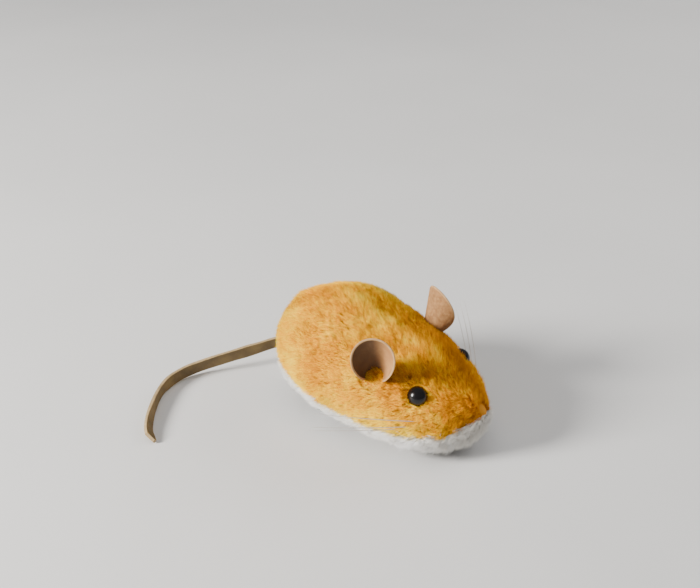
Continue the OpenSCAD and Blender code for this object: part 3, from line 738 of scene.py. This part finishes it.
nylon = mottled("nylon", (0.62, 0.56, 0.50), (0.74, 0.68, 0.62), 200, 0.25, 0.1)
for label, side in (("left", 1), ("right", -1)):
    verts, faces, start = [], [], 0
    for k in range(3):
        t = np.linspace(0, WHISKER_LENGTH / WHISKER_BEND, WHISKER_POINTS)
        x, y = WHISKER_BEND * np.sin(t), WHISKER_BEND * (1 - np.cos(t))
        rise, sweep = math.radians(RISES[label][k]), math.radians(SWEEPS[label][k])
        x, z = x * math.cos(rise), x * math.sin(rise)
        x, y = x * math.cos(sweep) - y * math.sin(sweep), x * math.sin(sweep) + y * math.cos(sweep)
        path = np.stack([x, y, z], -1) + WHISKER_ROOT + ROOTS_APART * (k - 1)
        radii = np.interp(np.linspace(0, 1, WHISKER_POINTS), [0, 0.6, 1], RADII)
        v, f = tube(path * [side, 1, 1], radii)
        verts.append(v)
        faces.append(f + start)
        start += len(v)
    whiskers = make_mesh(f"whisker_set_{label}", np.concatenate(verts), np.concatenate(faces))
    dress(whiskers, nylon)
    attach(whiskers, "mouse")
    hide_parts(f"whiskers_{label}")

# --- Tail: a leather strap on edge ---

TAIL_ROUTE = [[0, 42, 15.5], [3, 50, 13.5], [5, 59.5, 10.8], [-3.6, 66.5, 9], [-12.3, 73, 7.4],
              [-24.2, 82.6, 4.5], [-34, 86.7, 3.2], [-44.5, 86, 2.9], [-56.4, 80.3, 2.7],
              [-67.6, 72.2, 2.55], [-73.2, 65.2, 2.15]]
TAIL_HEIGHT, TAIL_THICK = 5.0, 1.6
TIP_LEAN, LEAN_START = 52, 0.7  # degrees of twist at the tip, and the share where it starts


def tail_piece():
    """The strap: two flat faces, cut edges with small rounded corners, and a slanted end."""
    count, corner_steps, soft = 200, 4, 0.25
    share = np.linspace(0, 1, count)
    path = catmull(np.array(TAIL_ROUTE, float), share)
    ahead = np.gradient(path, axis=0)
    level = unit(np.stack([ahead[:, 1], -ahead[:, 0], 0 * share], -1))
    lean = np.radians(TIP_LEAN * (np.maximum(0, share - LEAN_START) / (1 - LEAN_START))**1.5)
    lean += 0.05 * np.sin(share * 21 + 0.5)
    upright = np.array([0, 0, 1.0])
    side = level * np.cos(lean)[:, None] - upright * np.sin(lean)[:, None]
    rise = level * np.sin(lean)[:, None] + upright * np.cos(lean)[:, None]
    half_high = TAIL_HEIGHT * (0.42 + 0.14 * np.sin(np.pi * share))
    half_high += 0.05 * np.sin(share * 60) + 0.04 * np.sin(share * 23 + 1)
    half_thick = TAIL_THICK / 2 * (0.92 + 0.06 * np.sin(share * 41))
    cut = np.clip((share - 0.965) / 0.035, 0, 1) * 0.75
    loops = []
    for corner, (sx, sz) in enumerate(((1, 1), (-1, 1), (-1, -1), (1, -1))):
        for q in range(corner_steps):
            a = math.radians(corner * 90 + q * 90 / (corner_steps - 1))
            x = sx * (half_thick - soft) + soft * math.cos(a)
            top = half_high * (1 - 2 * cut) if sz > 0 else half_high
            z = sz * (top - soft) + soft * math.sin(a)
            loops.append(path + side * x[:, None] + rise * z[:, None])
    verts = np.stack(loops, 1)
    verts[..., 2] = np.maximum(verts[..., 2], 0.05)
    n = len(loops)
    faces, kinds = [], []
    for i in range(count - 1):
        for j in range(n):
            a, b = i * n + j, i * n + (j + 1) % n
            faces.append([a, a + n, b + n, b])
            kinds.append(0 if j in (2 * corner_steps - 1, n - 1) else 1)
    faces += [list(range(n)), [(count - 1) * n + j for j in range(n)][::-1]]
    mesh = bpy.data.meshes.new("tail_strap")
    mesh.from_pydata((verts.reshape(-1, 3) * MM).tolist(), [], faces)
    mesh.polygons.foreach_set("material_index", np.array(kinds + [1, 1], np.int32))
    mesh.polygons.foreach_set("use_smooth", np.full(len(faces), False))
    mesh.update()
    obj = bpy.data.objects.new("tail_strap", mesh)
    bpy.context.collection.objects.link(obj)
    return obj


tail_face = mottled("tail_face", (0.115, 0.072, 0.022), (0.205, 0.135, 0.045), 170, 0.62, 0.6)
tail_edge = mottled("tail_cut_edge", (0.30, 0.205, 0.090), (0.43, 0.300, 0.150), 500, 0.85, 0.6)
tail = tail_piece()
dress(tail, tail_face, tail_edge)
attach(tail, "mouse")
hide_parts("tail")

# --- Floor and light ---

floor_mesh = bpy.data.meshes.new("floor")
FLOOR_HALF = 12.0  # metres
floor_mesh.from_pydata(
    [(-FLOOR_HALF, -FLOOR_HALF, 0), (FLOOR_HALF, -FLOOR_HALF, 0), (FLOOR_HALF, FLOOR_HALF, 0),
     (-FLOOR_HALF, FLOOR_HALF, 0)], [], [(0, 1, 2, 3)])
floor = bpy.data.objects.new("floor", floor_mesh)
bpy.context.collection.objects.link(floor)
dress(floor, mottled("floor", (0.70, 0.69, 0.67), (0.74, 0.73, 0.71), 6, 0.6, 0.02))


def area_light(name, place, size, power, colour, seen=True):
    """A round lamp that faces the mouse; when not seen it leaves no highlight."""
    data = bpy.data.lights.new(name, "AREA")
    data.shape = "DISK"
    data.size = size
    data.energy = power
    data.color = colour
    light = bpy.data.objects.new(name, data)
    bpy.context.collection.objects.link(light)
    light.location = place
    light.visible_glossy = seen
    light.rotation_mode = "QUATERNION"
    light.rotation_quaternion = (Vector((0, 0, 0.02)) - Vector(place)).to_track_quat("-Z", "Y")


area_light("window", (-0.80, 0.62, 0.52), 0.36, 30, (1.0, 0.98, 0.95))
area_light("ceiling", (-0.1, 0.1, 1.1), 0.9, 3, (1.0, 0.99, 0.97), seen=False)
area_light("fill", (0.8, -0.35, 0.55), 0.8, 5, (1.0, 0.98, 0.96), seen=False)
world = bpy.data.worlds.new("world")
world.use_nodes = True
world.node_tree.nodes["Background"].inputs["Color"].default_value = (0.92, 0.94, 1.0, 1)
world.node_tree.nodes["Background"].inputs["Strength"].default_value = 0.30
bpy.context.scene.world = world
